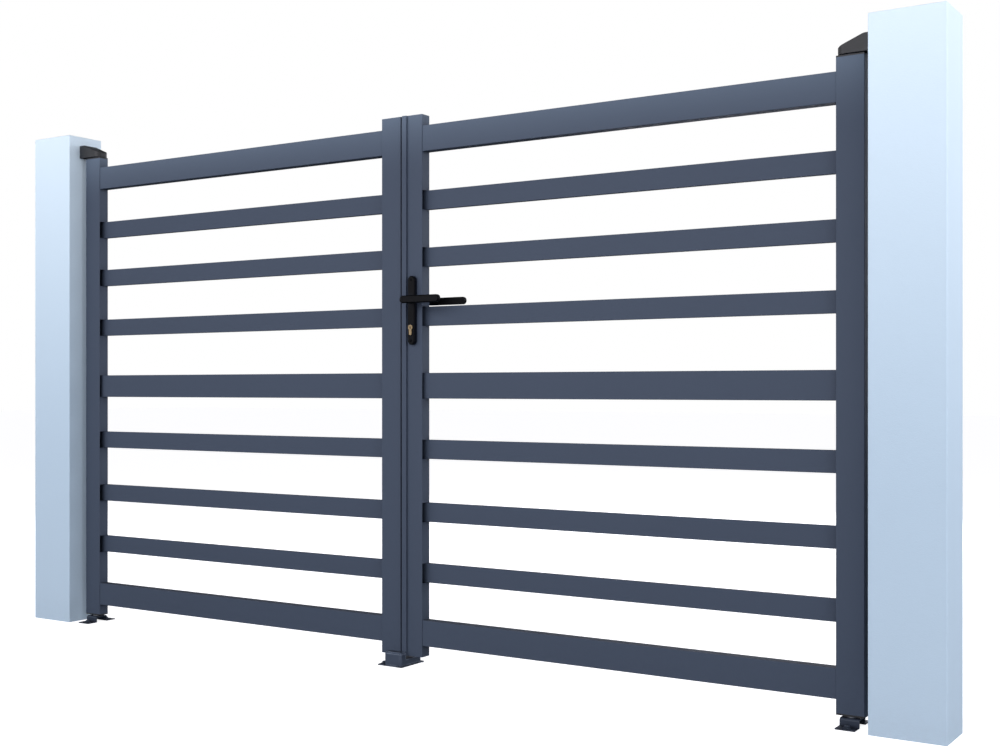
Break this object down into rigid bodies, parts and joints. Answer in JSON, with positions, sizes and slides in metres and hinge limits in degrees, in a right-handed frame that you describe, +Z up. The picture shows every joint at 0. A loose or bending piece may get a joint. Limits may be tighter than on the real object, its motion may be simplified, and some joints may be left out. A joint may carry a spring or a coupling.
{
  "type": "double-leaf aluminium swing gate",
  "caption": "Double-leaf aluminium driveway gate with horizontal slats, hung on pivots between two plain masonry pillars, with a lever lock and a ground stop.",
  "frame": {"origin": "centre of the left pillar's foot, at ground level, in the gate's middle plane", "axes": "+X along the closed gate from the left pillar to the right one, +Y into the property (the way the leaves open), +Z up"},
  "size_m": [3.39, 0.1572, 1.81],
  "materials": {
    "powder_coat": "fine satin powder coat",
    "coated_steel": "satin powder coat on folded steel",
    "black_moulding": "fine moulded grain",
    "black_handle": "satin black coat",
    "bare_steel": "zinc plated",
    "brass": "satin",
    "rendered_masonry": "smooth pale render"
  },
  "bodies": {
    "posts": {"centre_stop": "powder_coat", "left_ground_bracket": "coated_steel", "left_ground_pin": "bare_steel", "left_hinge_cap": "black_moulding", "left_pillar": "rendered_masonry", "left_top_pin": "bare_steel", "right_ground_bracket": "coated_steel", "right_ground_pin": "bare_steel", "right_hinge_cap": "black_moulding", "right_pillar": "rendered_masonry", "right_top_pin": "bare_steel"},
    "left_leaf": {"left_bottom_rail": "powder_coat", "left_hinge_stile": "powder_coat", "left_meeting_stile": "powder_coat", "left_mid_rail": "powder_coat", "left_slat_1": "powder_coat", "left_slat_2": "powder_coat", "left_slat_3": "powder_coat", "left_slat_4": "powder_coat", "left_slat_5": "powder_coat", "left_slat_6": "powder_coat", "left_stile_plugs": "black_moulding", "left_top_rail": "powder_coat", "strike_plate": "bare_steel"},
    "right_leaf": {"cover_strip": "powder_coat", "front_lock_plate": "black_handle", "lock_case": "bare_steel", "lock_cylinder": "brass", "rear_lock_plate": "black_handle", "right_bottom_rail": "powder_coat", "right_hinge_stile": "powder_coat", "right_meeting_stile": "powder_coat", "right_mid_rail": "powder_coat", "right_slat_1": "powder_coat", "right_slat_2": "powder_coat", "right_slat_3": "powder_coat", "right_slat_4": "powder_coat", "right_slat_5": "powder_coat", "right_slat_6": "powder_coat", "right_stile_plugs": "black_moulding", "right_top_rail": "powder_coat"},
    "handle": {"front_lever": "black_handle", "lever_spindle": "bare_steel", "rear_lever": "black_handle"}
  },
  "joints": [
    {"name": "left_leaf_swing", "type": "hinge", "parent": "posts", "child": "left_leaf", "pos_m": [0.161, 0, 0.027], "axis": [0, 0, 1], "range_deg": [0, 110]},
    {"name": "right_leaf_swing", "type": "hinge", "parent": "posts", "child": "right_leaf", "pos_m": [3.034, 0, 0.027], "axis": [0, 0, -1], "range_deg": [0, 110]},
    {"name": "handle_turn", "type": "hinge", "parent": "right_leaf", "child": "handle", "pos_m": [1.6435, 0, 1.1438], "axis": [0, 1, 0], "range_deg": [0, 40], "stiffness_Nm_per_rad": 1.5, "springref_deg": -28.65}
  ]
}
